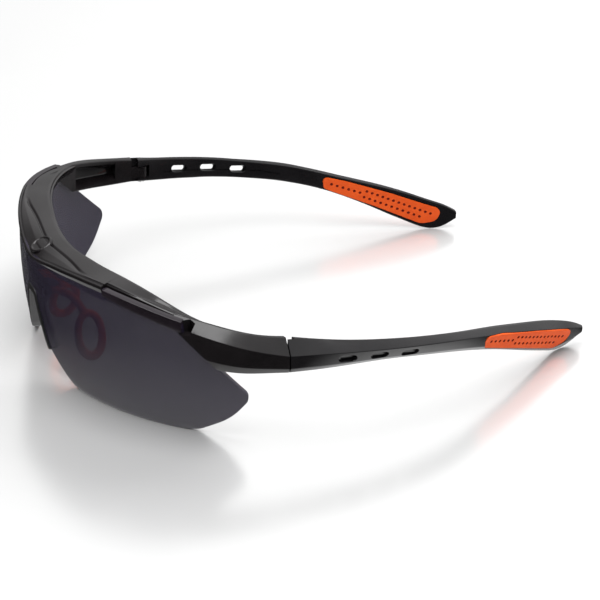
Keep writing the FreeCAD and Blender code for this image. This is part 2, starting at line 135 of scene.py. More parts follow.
def lens_point(angle, z, depth):
    """A point at an angle from straight ahead, a height, and a depth in from the lens's face."""
    drop = LENS_BULGE - math.sqrt((LENS_BULGE - depth) ** 2 - (z - LENS_WIDEST_Z) ** 2)
    radius = LENS_RADIUS - drop
    turn = math.radians(angle)
    return Vector((radius * math.sin(turn), LENS_AXIS_Y - radius * math.cos(turn), z))


# ---------------------------------------------------------------- meshes


def piece_from(bm, name, material, smooth_angle=35):
    """A new object, in metres, from a mesh in millimetres."""
    bmesh.ops.remove_doubles(bm, verts=bm.verts, dist=WELD)
    bmesh.ops.recalc_face_normals(bm, faces=bm.faces)
    bmesh.ops.scale(bm, vec=(MM, MM, MM), verts=bm.verts)
    mesh = bpy.data.meshes.new(name)
    bm.to_mesh(mesh)
    bm.free()
    piece = bpy.data.objects.new(name, mesh)
    bpy.context.scene.collection.objects.link(piece)
    if material:
        mesh.materials.append(material)
    return smoothed(piece, smooth_angle)


def add_loft(bm, sections, closed_ends=True):
    """Joins closed sections with the same number of points into a skin of quads."""
    rings = [[bm.verts.new(p) for p in section] for section in sections]
    count = len(rings[0])
    for one, two in zip(rings, rings[1:]):
        for i in range(count):
            j = (i + 1) % count
            bm.faces.new((one[i], one[j], two[j], two[i]))
    if closed_ends:
        bm.faces.new(rings[0])
        bm.faces.new(rings[-1])


def loft(name, sections, material=None, smooth_angle=35):
    """A closed piece, or a tool for cutting, through the sections."""
    bm = bmesh.new()
    add_loft(bm, sections)
    return piece_from(bm, name, material, smooth_angle)


def slab(name, columns, low, high, rows, place, depths, material):
    """A curved plate: columns from a low edge to a high edge, placed at two depths and closed."""
    bm = bmesh.new()
    sheets = []
    for depth in depths:
        sheet = []
        for column, bottom, top in zip(columns, low, high):
            heights = [bottom + (top - bottom) * r / rows for r in range(rows + 1)]
            sheet.append([bm.verts.new(place(column, z, depth)) for z in heights])
        sheets.append(sheet)
    last = len(columns) - 1
    for sheet in sheets:
        for i in range(last):
            for r in range(rows):
                bm.faces.new((sheet[i][r], sheet[i + 1][r], sheet[i + 1][r + 1], sheet[i][r + 1]))
    front, back = sheets
    for r in (0, rows):
        for i in range(last):
            bm.faces.new((front[i][r], front[i + 1][r], back[i + 1][r], back[i][r]))
    for i in (0, last):
        for r in range(rows):
            bm.faces.new((front[i][r], front[i][r + 1], back[i][r + 1], back[i][r]))
    return piece_from(bm, name, material)


def applied(piece):
    """Replaces the piece's mesh by the one that its modifiers make."""
    graph = bpy.context.evaluated_depsgraph_get()
    mesh = bpy.data.meshes.new_from_object(piece.evaluated_get(graph))
    piece.modifiers.clear()
    old = piece.data
    piece.data = mesh
    bpy.data.meshes.remove(old)
    return piece


def smoothed(piece, angle):
    """Smooth shading, but for the edges sharper than the angle."""
    piece.data.shade_smooth()
    piece.data.set_sharp_from_angle(angle=math.radians(angle))
    return piece


def softened(piece, width, angle=50, segments=2):
    """Rounds the piece's sharp edges."""
    bevel = piece.modifiers.new("edges", "BEVEL")
    bevel.width = width * MM
    bevel.segments = segments
    bevel.limit_method = "ANGLE"
    bevel.angle_limit = math.radians(angle)
    return smoothed(applied(piece), angle)


def combined(piece, operation, tools, smooth_angle=32):
    """Cuts the tools out of the piece, or joins them to it, and removes the tools."""
    for tool in tools:
        step = piece.modifiers.new("combine", "BOOLEAN")
        step.operation = operation
        step.solver = "EXACT"
        step.material_mode = "TRANSFER"
        step.object = tool
        applied(piece)
        bpy.data.objects.remove(tool)
    return smoothed(piece, smooth_angle)


def mirrored(piece, name):
    """A copy of the piece, mirrored in the YZ plane."""
    mesh = piece.data.copy()
    mesh.transform(Matrix.Diagonal((-1, 1, 1, 1)))
    mesh.flip_normals()
    mesh.name = name
    copy = bpy.data.objects.new(name, mesh)
    bpy.context.scene.collection.objects.link(copy)
    return copy


def circle(centre, radius, z, segments=32):
    turns = [2 * math.pi * i / segments for i in range(segments)]
    return [(centre[0] + radius * math.cos(t), centre[1] + radius * math.sin(t), z) for t in turns]


def box_tool(low, high):
    plan = [(low[0], low[1]), (high[0], low[1]), (high[0], high[1]), (low[0], high[1])]
    return upright_tool(plan, low[2], high[2])


def upright_tool(plan, low, high):
    """A tool with an XY outline, from one height to the other."""
    return loft("upright_tool", [[(p[0], p[1], z) for p in plan] for z in (low, high)])


def crossing_tool(outline, low_x, high_x):
    """A tool with a YZ outline, from one x to the other."""
    return loft("crossing_tool", [[(x, y, z) for y, z in outline] for x in (low_x, high_x)])


# ---------------------------------------------------------------- materials


def shader(name, **sockets):
    """A Principled material with constant values on the shader's own sockets."""
    material = bpy.data.materials.new(name)
    material.use_nodes = True
    bsdf = material.node_tree.nodes["Principled BSDF"]
    for socket, value in sockets.items():
        bsdf.inputs[socket.replace("_", " ")].default_value = value
    return material, material.node_tree, bsdf


def noise(tree, scale, detail):
    """A noise over the piece's own coordinates, in metres."""
    place = tree.nodes.new("ShaderNodeTexCoord")
    node = tree.nodes.new("ShaderNodeTexNoise")
    node.inputs["Scale"].default_value = scale
    node.inputs["Detail"].default_value = detail
    tree.links.new(place.outputs["Object"], node.inputs["Vector"])
    return node.outputs["Fac"]


def ramp(tree, source, stops):
    """The colours of a ramp with (position, colour) stops, driven by a socket."""
    node = tree.nodes.new("ShaderNodeValToRGB")
    elements = node.color_ramp.elements
    for element, (position, colour) in zip(elements, (stops[0], stops[-1])):
        element.position = position
        element.color = colour
    for position, colour in stops[1:-1]:
        elements.new(position).color = colour
    tree.links.new(source, node.inputs["Fac"])
    return node.outputs["Color"]


def vary(tree, bsdf, socket, scale, detail, stops):
    """Varies one of the shader's sockets with a noise."""
    colours = ramp(tree, noise(tree, scale, detail), stops)
    tree.links.new(colours, bsdf.inputs[socket])


def grey(value):
    return (value, value, value, 1)


def bump(tree, bsdf, scale, detail, strength, height):
    """Fine relief from a noise, with its height in millimetres."""
    node = tree.nodes.new("ShaderNodeBump")
    node.inputs["Strength"].default_value = strength
    node.inputs["Distance"].default_value = height * MM
    tree.links.new(noise(tree, scale, detail), node.inputs["Height"])
    tree.links.new(node.outputs["Normal"], bsdf.inputs["Normal"])


def plastic(name, dark, light, gloss):
    """Polished moulded plastic: slightly clouded colour, and faint flow marks in the gloss."""
    material, tree, bsdf = shader(name, IOR=1.5, Specular_IOR_Level=0.45)
    vary(tree, bsdf, "Base Color", 90, 4, [(0.35, (*dark, 1)), (0.7, (*light, 1))])
    dull = gloss + 0.09
    vary(tree, bsdf, "Roughness", 240, 5, [(0.3, grey(gloss)), (0.75, grey(dull))])
    bump(tree, bsdf, 1500, 2, 0.05, 0.02)
    return material


def rubber(name, dark, light):
    """Soft elastomer: matte, with a fine moulded grain."""
    material, tree, bsdf = shader(name, IOR=1.45, Specular_IOR_Level=0.2)
    vary(tree, bsdf, "Base Color", 260, 5, [(0.3, (*dark, 1)), (0.72, (*light, 1))])
    vary(tree, bsdf, "Roughness", 700, 3, [(0.3, grey(0.42)), (0.75, grey(0.6))])
    bump(tree, bsdf, 3200, 3, 0.25, 0.03)
    return material


def smoke(name):
    """Smoke-tinted polycarbonate: each face lets part of the light through."""
    material, tree, bsdf = shader(name, IOR=1.5, Specular_IOR_Level=0.28, Alpha=0.84)
    dark, light = (0.022, 0.018, 0.035, 1), (0.027, 0.022, 0.041, 1)
    vary(tree, bsdf, "Base Color", 25, 2, [(0.3, dark), (0.75, light)])
    vary(tree, bsdf, "Roughness", 60, 3, [(0.3, grey(0.04)), (0.75, grey(0.06))])
    return material


def steel(name):
    """Turned steel, with fine streaks of duller metal."""
    material, tree, bsdf = shader(name, Metallic=1.0)
    vary(tree, bsdf, "Base Color", 900, 4, [(0.3, grey(0.38)), (0.75, grey(0.6))])
    vary(tree, bsdf, "Roughness", 2400, 3, [(0.3, grey(0.25)), (0.75, grey(0.4))])
    bump(tree, bsdf, 5000, 2, 0.1, 0.01)
    return material


BROW_BLACK = plastic("brow_black", (0.006, 0.005, 0.0055), (0.011, 0.009, 0.010), 0.15)
TEMPLE_BLACK = plastic("temple_black", (0.006, 0.0055, 0.0065), (0.010, 0.009, 0.010), 0.13)
BRIDGE_BLACK = plastic("bridge_black", (0.010, 0.010, 0.011), (0.018, 0.017, 0.018), 0.30)
RAIL_BLACK = plastic("rail_black", (0.010, 0.007, 0.010), (0.018, 0.013, 0.018), 0.12)
LENS_SMOKE = smoke("lens_smoke")
GRIP_ORANGE = rubber("grip_orange", (0.74, 0.083, 0.008), (0.84, 0.108, 0.011))
# Dark orange for the faces inside the dimples: painted shade in the hollows.
DIMPLE_SHADE_ORANGE = rubber("dimple_painted_shade", (0.20, 0.012, 0.004), (0.26, 0.020, 0.006))
NOSE_ORANGE = rubber("nose_orange", (0.82, 0.12, 0.03), (0.90, 0.16, 0.04))
SCREW_STEEL = steel("screw_steel")


# ---------------------------------------------------------------- the lens and its rails

# The outline of the left half of the lens, as the angle from straight ahead, the height and the
# corner radius: the nose cut-out, the level run on the table, the rise to the rear corner, and the
# way back over the end piece and under the brow.
LENS_OUTLINE = [
    (0.0, 24.2, 0),
    (2.3, 24.2, 2.2),
    (6.6, 8.9, 12),
    (16.4, 0.0, 14),
    (48.0, 0.0, 30),
    (53.4, 0.6, 8),
    (61.2, 6.2, 20),
    (65.8, 13.9, 2.9),
    (57.0, 24.6, 60),
    (50.7, 31.3, 2),
    (50.1, 33.2, 0.4),
    (49.9, 35.7, 0.6),
    (29.8, 39.2, 0),
    (29.4, 40.0, 0),
    (21.0, 39.8, 20),
    (12.0, 38.5, 30),
    (0.0, 35.7, 0),
]
DEGREE = math.radians(1) * LENS_RADIUS
LENS_ROWS = 26


def lens_edges(angles):
    """Lower and upper heights of the lens at the angles, and the angle of its rear corner."""
    corners = [(angle * DEGREE, z, radius) for angle, z, radius in LENS_OUTLINE]
    points = rounded(corners, steps=12, closed=False)
    along = np.array([p[0] for p in points])
    heights = np.array([p[1] for p in points])
    rear = along.argmax()
    edges = []
    for part in (slice(0, rear + 1), slice(len(points) - 1, rear - 1, -1)):
        run = np.maximum.accumulate(along[part] + np.arange(len(along[part])) * 1e-7)
        edges.append(np.interp(np.array(angles) * DEGREE, run, heights[part]))
    low, high = edges
    pinch = np.maximum((LENS_LEAST_HEIGHT - (high - low)) / 2, 0)
    return low - pinch, high + pinch, along[rear] / DEGREE


def make_lens():
    """The one-piece lens, with more columns where its outline turns."""
    rear = lens_edges([0.0])[2]
    half = np.concatenate([
        np.linspace(0, 8, 33)[:-1],
        np.linspace(8, 49.7, 57)[:-1],
        np.linspace(49.7, 50.9, 13)[:-1],
        np.linspace(50.9, 61, 18)[:-1],
        61 + (rear - 61) * np.sin(np.linspace(0, math.pi / 2, 26)),
    ])
    low, high, _ = lens_edges(half)
    angles = np.concatenate([-half[:0:-1], half])
    lows = np.concatenate([low[:0:-1], low])
    highs = np.concatenate([high[:0:-1], high])
    faces = (0.0, LENS_THICKNESS)
    lens = slab("lens_shell", angles, lows, highs, LENS_ROWS, lens_point, faces, LENS_SMOKE)
    return softened(lens, 0.35)


# The rail, at angles from straight ahead: heights of its top and of its foot.
RAIL = [(29.9, 39.9, 38.2), (36.0, 39.3, 36.8), (43.0, 38.1, 35.2), (49.9, 36.6, 33.2)]


def make_rail():
    """The thickened lip along the lens's top edge, which stands out past both of its faces."""
    sections = []
    for angle in np.linspace(RAIL[0][0], RAIL[-1][0], 30):
        top, foot = spline(RAIL, angle)[0]
        corners = [(-0.7, foot, 0.15), (-0.75, top, 0.15), (1.3, top + 0.2, 0.2), (1.55, foot, 0.2)]
        sections.append([lens_point(angle, z, depth) for depth, z in rounded(corners)])
    return softened(loft("lens_rail_left", sections, RAIL_BLACK), 0.2)


# ---------------------------------------------------------------- the brow frame

# The brow bar, at angles from straight ahead: height of the front lip, depth of the bar, depth and
# height of the crease that edges the raised middle, heights of the rear ridge and of the rear edge,
# and height of the underside.
BROW = both_sides([
    (0.0, 35.0, 10.9, 5.2, 38.95, 39.3, 38.7, 34.6),
    (6.0, 36.2, 10.8, 5.3, 39.3, 39.6, 38.9, 34.8),
    (12.0, 37.9, 10.6, 4.9, 39.8, 40.1, 39.2, 35.2),
    (17.0, 38.8, 10.2, 3.7, 40.1, 40.6, 39.7, 35.6),
    (21.0, 39.35, 9.7, 2.4, 40.35, 40.9, 40.0, 35.8),
    (25.0, 39.6, 9.2, 1.6, 40.8, 41.1, 40.15, 35.8),
    (29.0, 39.7, 8.8, 1.2, 40.9, 41.1, 40.2, 35.6),
    (40.0, 37.6, 7.3, 3.2, 39.2, 39.7, 38.8, 34.0),
    (54.0, 34.0, 3.7, 2.6, 35.6, 35.7, 35.1, 30.6),
])
# The lip over the lens ends at this angle, and stands out this far from the lens's outer face.
LIP_END = 29.5
LIP_PROUD = 0.45
# The crease is gone at this angle, and fades over the last few degrees before it.
CREASE_END, CREASE_FADE = 23.0, 4.0
# Least step in depth between two points of the top.
LEAST_STEP = 0.08


def crease_strength(angle):
    """How sharply the crease is drawn: full over the middle, and gone where the rails start."""
    return max(0.0, min(1.0, (CREASE_END - abs(angle)) / CREASE_FADE))


def brow_section(angle, has_lip):
    """The bar's section at an angle, with the lip over the lens or with a bare front wall."""
    lip, depth, crease, crease_z, ridge, rear, under = spline(BROW, angle)[0]
    drawn = crease_strength(angle)
    if has_lip:
        # The lip: a small step stands out over the lens, with a groove between it and the slope.
        front = [
            (-LIP_PROUD, lip, 0.12),
            (-LIP_PROUD, lip + 0.75, 0.25),
            (-LIP_PROUD + 0.45, lip + 1.05, 0.2),
            (-LIP_PROUD + 0.7, lip + 0.85, 0.1),
            (-LIP_PROUD + 1.15, lip + 1.25, 0.3),
        ]
        start, lip_top = -LIP_PROUD + 1.15, lip + 1.25
        middle = start + 0.5 * (crease - 0.7 - start)
        swell = lip_top + 0.62 * (crease_z - lip_top) + 0.25
    else:
        start = LENS_THICKNESS + 0.15
        lip_top = ridge - 0.75
        front = [
            (start, under + 0.5, 0.15),
            (start + 0.01, lip_top - 1.2, 0.1),
            (start + 0.03, lip_top - 0.8, 0.1),
            (start + 0.06, lip_top - 0.4, 0.1),
            (start + 0.1, lip_top, 0.3),
        ]
        crease = max(crease, start + 1.0)
        middle = start + 0.4
        swell = lip_top + 0.25
    top = [
        (middle, swell, 1.2),
        (crease - 0.55, crease_z + 0.1, 0.3),
        (crease - 0.1, crease_z - 0.55 * drawn, 0.12),
        (crease + 0.15, crease_z - 0.55 * drawn, 0.12),
        (crease + 0.7, crease_z + 0.04, 0.5),
        (depth - 1.5, ridge, 0.5),
        (depth - 0.75, ridge - 0.05, 0.2),
        (depth - 0.5, rear + 0.1, 0.2),
    ]
    # Where the bar is thin the points of its top are spread out, so that none overtakes another.
    spread = []
    reached = start
    for i, (d, z, radius) in enumerate(top):
        reached = min(max(d, reached + LEAST_STEP), depth - LEAST_STEP * (len(top) - i))
        spread.append((reached, z, radius))
    corners = front + spread + [
        (depth, rear, 0.3),
        (depth - 0.5, rear - 2.2, 0.6),
        (max(depth * 0.62, start + 0.9), under + 1.2, 1.0),
        (max(LENS_THICKNESS + 0.9, start + 0.3), under, 0.3),
        (max(LENS_THICKNESS - 0.6, start + 0.1), under, 0.1),
    ]
    return [lens_point(angle, z, d) for d, z in rounded(corners, 3)]


def make_brow_middle():
    """The middle of the bar, with its lip over the lens."""
    angles = np.linspace(-LIP_END, LIP_END, 119)
    return loft("brow_middle", [brow_section(a, True) for a in angles], BROW_BLACK, 30)


def make_brow_side():
    """The bare bar behind the left rail."""
    angles = np.linspace(LIP_END, BROW[-1][0], 37)
    return loft("brow_side_left", [brow_section(a, False) for a in angles], BROW_BLACK, 30)


# The end pieces and the temples share one kind of section across Y. Each row gives y, the x and z
# of the crest, of the ridge and of the foot, and, for the end pieces, the x of the inside.
END = [
    (-56.0, 52.5, 37.5, 56.2, 34.6, 57.0, 25.0, 51.6),
    (-48.5, 58.0, 36.0, 62.5, 32.9, 62.6, 23.4, 56.6),
    (-41.0, 62.0, 34.1, 66.1, 30.7, 66.0, 22.3, 60.6),
    (-33.0, 64.4, 32.4, 68.1, 28.5, 67.7, 21.8, 63.2),
    (-27.2, 65.4, 31.5, 69.0, 27.1, 68.7, 21.5, 63.8),
]
TEMPLE = [
    (-26.8, 65.4, 31.4, 69.0, 27.0, 68.7, 21.5),
    (-20.0, 65.9, 30.2, 69.9, 26.8, 68.7, 21.1),
    (-12.0, 66.5, 28.9, 70.7, 26.4, 68.6, 20.8),
    (3.0, 66.1, 26.6, 70.6, 25.0, 67.2, 19.8),
    (16.0, 64.8, 24.4, 68.9, 23.3, 65.6, 18.1),
    (30.0, 62.4, 21.9, 65.6, 21.0, 63.0, 15.6),
    (44.0, 57.3, 18.6, 60.1, 17.4, 58.5, 11.3),
    (56.0, 53.0, 15.6, 55.7, 14.2, 53.6, 6.4),
    (66.0, 48.7, 12.7, 51.5, 10.9, 48.8, 2.1),
    (73.0, 46.0, 10.2, 48.5, 8.5, 45.7, 0.0),
    (78.0, 44.8, 8.2, 46.6, 7.0, 44.3, 1.1),
    (81.5, 44.2, 6.2, 44.9, 5.6, 44.0, 3.3),
]
TEMPLE_THICKNESS = 4.2

# The front edge of the end piece in YZ, with the waste in front of it.
END_FRONT = [
    (-62.0, 44.0, 0),
    (-62.0, 38.0, 0),
    (-56.0, 33.2, 0.8),
    (-49.7, 26.5, 30),
    (-44.5, 21.0, 0),
    (-44.5, 10.0, 0),
    (-64.0, 10.0, 0),
    (-64.0, 44.0, 0),
]
# The gap between the rear end of the rail and the front of the end piece, in XY, and its heights.
RECESS = [(54.6, -56.5), (61.5, -59.0), (59.2, -53.3), (57.4, -51.2), (55.9, -52.1)]
RECESS_LOW, RECESS_HIGH = 32.9, 46.0
TONGUE_RADIUS, TONGUE_HALF_WIDTH, TONGUE_REACH = 1.9, 1.6, 6.5
TONGUE_LOW, TONGUE_HIGH = 24.3, 27.8
SCREW_HOLE_RADIUS = 0.75


def arm_section(y, crest_x, crest_z, ridge_x, ridge_z, foot_x, foot_z, inside_x):
    """A section of an end piece or a temple: a sloping top, an outer face and a chamfered foot."""
    height = ridge_z - foot_z
    soft = min(0.5, height * 0.15)
    inside_foot_z = foot_z + max(0.0, 0.6 * (foot_x - inside_x - 1.5))
    corners = [
        (foot_x - 0.2, foot_z, soft),
        (foot_x + 0.35 * (ridge_x - foot_x) + 0.45, foot_z + 0.3 * height, 1.0),
        (ridge_x, ridge_z, 0.3),
        (max(crest_x + 0.3, inside_x + 0.9), crest_z, 0.5),
        (inside_x, crest_z - 0.35, 0.4),
        (inside_x, inside_foot_z + 0.1, soft),
    ]
    return [Vector((x, y, z)) for x, z in rounded(corners, 4)]


def hollow_section(y, crest_x, crest_z, ridge_x, ridge_z, foot_x, foot_z, inside_x):
    """What is cut from a section of the end piece, so that walls are left outside and above."""
    corners = [
        (foot_x - 1.6, foot_z + 4.8, 0.6),
        (ridge_x - 1.6, ridge_z - 0.6, 0.6),
        (crest_x, crest_z - 1.6, 0.6),
        (inside_x - 3.0, crest_z - 1.6, 0),
        (inside_x - 3.0, foot_z + 2.4, 0),
    ]
    return [Vector((x, y, z)) for x, z in rounded(corners, 4)]


def make_end():
    """The hollow end piece, with the hinge's tongue."""
    ys = np.linspace(END[0][0], END[-1][0], 34)
    end = loft("end_left", [arm_section(y, *spline(END, y)[0]) for y in ys], BROW_BLACK)
    hollow_ys = np.linspace(END[1][0], END[3][0], 18)
    hollow = loft("hollow_tool", [hollow_section(y, *spline(END, y)[0]) for y in hollow_ys])
    combined(end, "DIFFERENCE", [crossing_tool(rounded(END_FRONT), 40, 80), hollow])
    tongue = upright_tool(circle(HINGE, TONGUE_RADIUS, 0), TONGUE_LOW, TONGUE_HIGH)
    neck = box_tool((HINGE.x - TONGUE_HALF_WIDTH, HINGE.y - TONGUE_REACH, TONGUE_LOW),
                    (HINGE.x + TONGUE_HALF_WIDTH, HINGE.y, TONGUE_HIGH))
    combined(tongue, "UNION", [neck])
    combined(tongue, "DIFFERENCE", [upright_tool(circle(HINGE, SCREW_HOLE_RADIUS, 0), 10, 40)])
    return combined(end, "UNION", [tongue])


def make_medallion():
    """A plain round boss with a raised ring, on the slope of the brow."""
    profile = [(3.55, -0.7), (3.5, 0.0), (3.25, 0.22), (2.95, 0.28), (2.7, 0.2), (2.45, -0.02),
               (1.6, -0.1), (0.6, -0.06)]
    place = Matrix.Translation((0, -77.8, 38.3)) @ Matrix.Rotation(math.radians(25), 4, "X")
    rings = [[place @ Vector(p) for p in circle((0, 0), r, h, 64)] for r, h in profile]
    return loft("brow_medallion", rings, BROW_BLACK)


# ---------------------------------------------------------------- the temples and the grips


def temple_row(y):
    """The temple's row at y, with the x of its inside.

    The temple is a little thicker at the hinge, and thins quickly at the blunt end of the tip.
    """
    row = list(spline(TEMPLE, y)[0])
    share = (y - TEMPLE[0][0]) / (TEMPLE[-1][0] - TEMPLE[0][0])
    thickness = TEMPLE_THICKNESS + (1 - share) ** 8 - 2.3 * share**9
    return row + [row[2] - thickness]


def outer_point(y, z, depth):
    """A point on the outer face of the temple, or a depth in from it."""
    _, _, ridge_x, ridge_z, foot_x, foot_z, _ = temple_row(y)
    face_x = ridge_x + (foot_x - ridge_x) * (ridge_z - z) / (ridge_z - foot_z)
    return Vector((face_x - depth, y, z))


def inner_point(y, z, depth):
    """A point on the inside of the temple, or a depth in from it."""
    return Vector((temple_row(y)[-1] + depth, y, z))


# The middles of the three slots in YZ, their size, how they tilt along the temple and how they drop
# from the inside to the outside.
SLOTS = [(-9.7, 24.3), (0.5, 23.3), (10.7, 21.8)]
SLOT_HALF_LENGTH = 2.4
SLOT_HALF_HEIGHT = 0.85
SLOT_TILT = 0.12
SLOT_SLANT = 0.24


def slot_tool(y, z):
    """An obround that drops towards the outside and flares at both faces of the temple."""
    outer_x = outer_point(y, z, 0).x
    inner_x = inner_point(y, z, 0).x
    flares = [
        (inner_x - 2, 0.6),
        (inner_x + 0.6, 0.35),
        (inner_x + 1.0, 0.15),
        (inner_x + 1.5, 0.0),
        (outer_x - 1.1, 0.0),
        (outer_x - 0.45, 0.2),
        (outer_x, 0.5),
        (outer_x + 2, 0.8),
    ]
    reach = SLOT_HALF_LENGTH - SLOT_HALF_HEIGHT
    sections = []
    for x, grow in flares:
        tall = SLOT_HALF_HEIGHT + grow
        drop = SLOT_SLANT * (x - (outer_x + inner_x) / 2)
        ring = []
        for turn in np.linspace(0, 2 * math.pi, 41)[:-1]:
            along = math.copysign(reach, math.cos(turn)) + tall * math.cos(turn)
            ring.append((x, y + along, z - drop + tall * math.sin(turn) - SLOT_TILT * along))
        sections.append(ring)
    return loft("slot_tool", sections)


# The outline of a grip in YZ, with corner radii. The outer and the inner grip share it.
GRIP = [
    (38.7, 14.3, 1.2),
    (38.3, 18.5, 1.4),
    (45.5, 17.0, 20),
    (60.0, 12.7, 20),
    (76.6, 7.0, 3.2),
    (75.0, 2.8, 3.2),
    (69.8, 1.9, 5),
    (54.0, 8.5, 30),
]
GRIP_PROUD, GRIP_SUNK = 0.35, 0.45
POCKET_DEPTH, POCKET_GAP = 0.4, 0.22
# Rows of dimples: the first and the last in YZ, and how many.
DIMPLES = [
    ((41.0, 15.9), (50.1, 13.0), 6),
    ((52.3, 13.4), (72.8, 5.6), 13),
    ((51.5, 11.3), (69.3, 4.5), 11),
]
DIMPLE_RADIUS, DIMPLE_LIFT = 0.52, 0.08
# The shallow channel round the slots on the inside of the temple, in YZ.
CHANNEL = [
    (-15.5, 22.6, 1.2),
    (18.0, 19.9, 1.2),
    (27.0, 18.8, 0.3),
    (18.0, 22.0, 3),
    (-15.5, 26.6, 1.2),
]
CHANNEL_DEPTH = 0.9
# How far outside a face a cutting tool starts.
CLEAR = 2.0


def edge_run(points, first, last):
    """The points of a closed outline from one index on to the other."""
    count = len(points)
    return np.array([points[i % count] for i in range(first, first + (last - first) % count + 1)])


def face_slab(name, outline, place, depths, material=None, grow=0.0):
    """A plate of the given outline, grown a little, on one face of the temple."""
    points = np.array([tuple(p) for p in outline])
    ys = points[:, 0]
    first, last = ys.argmin(), ys.argmax()
    share = (1 - np.cos(np.linspace(0, math.pi, 61))) / 2
    columns = ys.min() - grow + (ys.max() - ys.min() + 2 * grow) * share
    inside = np.clip(columns, ys.min(), ys.max())
    high = np.interp(inside, *edge_run(points, first, last).T)
    low = np.interp(inside, *edge_run(points, last, first)[::-1].T)
    pinch = np.maximum((GRIP_LEAST_HEIGHT - (high - low)) / 2, 0)
    if grow:
        past_end = np.abs(columns - inside) / grow
        pinch = pinch + np.sqrt(np.clip(1 - past_end**2, 0.02, 1)) * grow
    return slab(name, columns, low - pinch, high + pinch, 12, place, depths, material)


def dimple_tool(place):
    """A ball at every dimple of one grip, carrying the dark orange of painted shade onto the faces
    that it cuts.
    """
    bm = bmesh.new()
    for first, last, count in DIMPLES:
        for t in np.linspace(0, 1, count):
            y, z = Vector(first).lerp(Vector(last), t)
            at = Matrix.Translation(place(y, z, -GRIP_PROUD - DIMPLE_LIFT))
            bmesh.ops.create_icosphere(bm, subdivisions=2, radius=DIMPLE_RADIUS, matrix=at)
    return piece_from(bm, "dimple_tool", DIMPLE_SHADE_ORANGE)


def make_grip(name, place):
    """The soft grip on one face of the temple."""
    grip = face_slab(name, rounded(GRIP, 8), place, (-GRIP_PROUD, GRIP_SUNK), GRIP_ORANGE)
    softened(grip, 0.28, segments=3)
    # The cut leaves the dimples' faces in the tool's dark orange: painted shade in the hollows.
    return combined(grip, "DIFFERENCE", [dimple_tool(place)], 45)


def make_temple():
    """The temple, with its slots, channel and grip pockets, and the ears that hold the tongue."""
    first, last = TEMPLE[0][0], TEMPLE[-1][0]
    ys = np.concatenate([np.linspace(first, 70, 84)[:-1], np.linspace(70, last, 20)])
    temple = loft("temple_left_arm", [arm_section(y, *temple_row(y)) for y in ys], TEMPLE_BLACK)
    softened(temple, 0.3, 60, 3)
    tools = [slot_tool(*slot) for slot in SLOTS]
    tools += [
        face_slab("channel_tool", rounded(CHANNEL, 6), inner_point, (-CLEAR, CHANNEL_DEPTH)),
        # Room for the tongue, the inside corner that folding needs, and the well below the screw.
        box_tool((HINGE.x - 10, HINGE.y - 9.5, 24.0), (HINGE.x + 2.2, HINGE.y + 2.5, 28.1)),
        box_tool((HINGE.x - 12, HINGE.y - 12, 10), (HINGE.x, HINGE.y - 1.6, 40)),
        upright_tool(circle(HINGE, 1.3, 0), 15, 23.5),
    ]
    pocket = (-CLEAR, POCKET_DEPTH)
    for place in (outer_point, inner_point):
        tools.append(face_slab("pocket_tool", rounded(GRIP, 8), place, pocket, grow=POCKET_GAP))
    return combined(temple, "DIFFERENCE", tools)


# ---------------------------------------------------------------- the nose piece

# The path of the band round the nose cut-out, seen from the front, and its section as distances
# into the cut-out and depths behind the lens's outer face.
BRIDGE_PATH = [
    (9.0, 7.6, 0),
    (8.05, 9.6, 6),
    (2.9, 24.2, 2.2),
    (-2.9, 24.2, 2.2),
    (-8.05, 9.6, 6),
    (-9.0, 7.6, 0),
]
BRIDGE_SECTION = [(1.15, -0.35, 0.35), (1.15, 2.5, 0.4), (-1.0, 2.5, 0.4), (-1.0, -0.35, 0.35)]
BRIDGE_STEP = 0.6
PLATE_ANGLES = np.linspace(-6, 6, 13)
PLATE_LOW, PLATE_HIGH = 24.6, 28.3
PLATE_DEPTHS = (1.65, 3.3)
PEG_X, PEG_Z = 6.0, 25.6
# The y and the radius of each ring of a peg.
PEG = [(-79.2, 1.0), (-75.0, 1.0), (-74.6, 0.85), (-74.4, 0.6)]


def along_path(points, i):
    """The direction of a path at one of its points."""
    return (points[min(i + 1, len(points) - 1)] - points[max(i - 1, 0)]).normalized()


def make_bridge():
    """A band round the top of the nose cut-out, with a plate and two pegs behind the lens."""
    path = [Vector(p) for p in rounded(BRIDGE_PATH, 10, closed=False)]
    fine = [path[0]]
    for point in path[1:]:
        parts = max(1, round((point - fine[-1]).length / BRIDGE_STEP))
        fine += [fine[-1].lerp(point, k / parts) for k in range(1, parts)] + [point]
    sections = []
    for i, point in enumerate(fine):
        along = along_path(fine, i)
        inward = Vector((-along.y, along.x))
        section = []
        for offset, depth in rounded(BRIDGE_SECTION, 3):
            spot = point + inward * offset
            section.append(lens_point(math.degrees(math.asin(spot.x / LENS_RADIUS)), spot.y, depth))
        sections.append(section)
    band = softened(loft("nose_bridge_band", sections, BRIDGE_BLACK), 0.3)
    low, high = np.full_like(PLATE_ANGLES, PLATE_LOW), np.full_like(PLATE_ANGLES, PLATE_HIGH)
    plate = slab("bridge_plate", PLATE_ANGLES, low, high, 4, lens_point, PLATE_DEPTHS, BRIDGE_BLACK)
    pegs = []
    for side in (-1, 1):
        rings = [[(x, y, z) for x, z, _ in circle((side * PEG_X, PEG_Z), radius, 0, 24)]
                 for y, radius in PEG]
        pegs.append(loft("peg_tool", rings, BRIDGE_BLACK))
    return combined(band, "UNION", [softened(plate, 0.3)] + pegs)


# The loop of a pad: its middle, its half size along Y and Z, the degrees that its top leans in, and
# the radii of its wire, across the loop, in the loop's plane, and what the bottom adds to that.
PAD_MIDDLE = Vector((12.2, -66.8, 12.3))
PAD_HALF_DEPTH, PAD_HALF_HEIGHT = 4.9, 7.8
PAD_SPLAY = 20
PAD_THIN, PAD_WIDE, PAD_EXTRA = 1.05, 1.2, 0.25
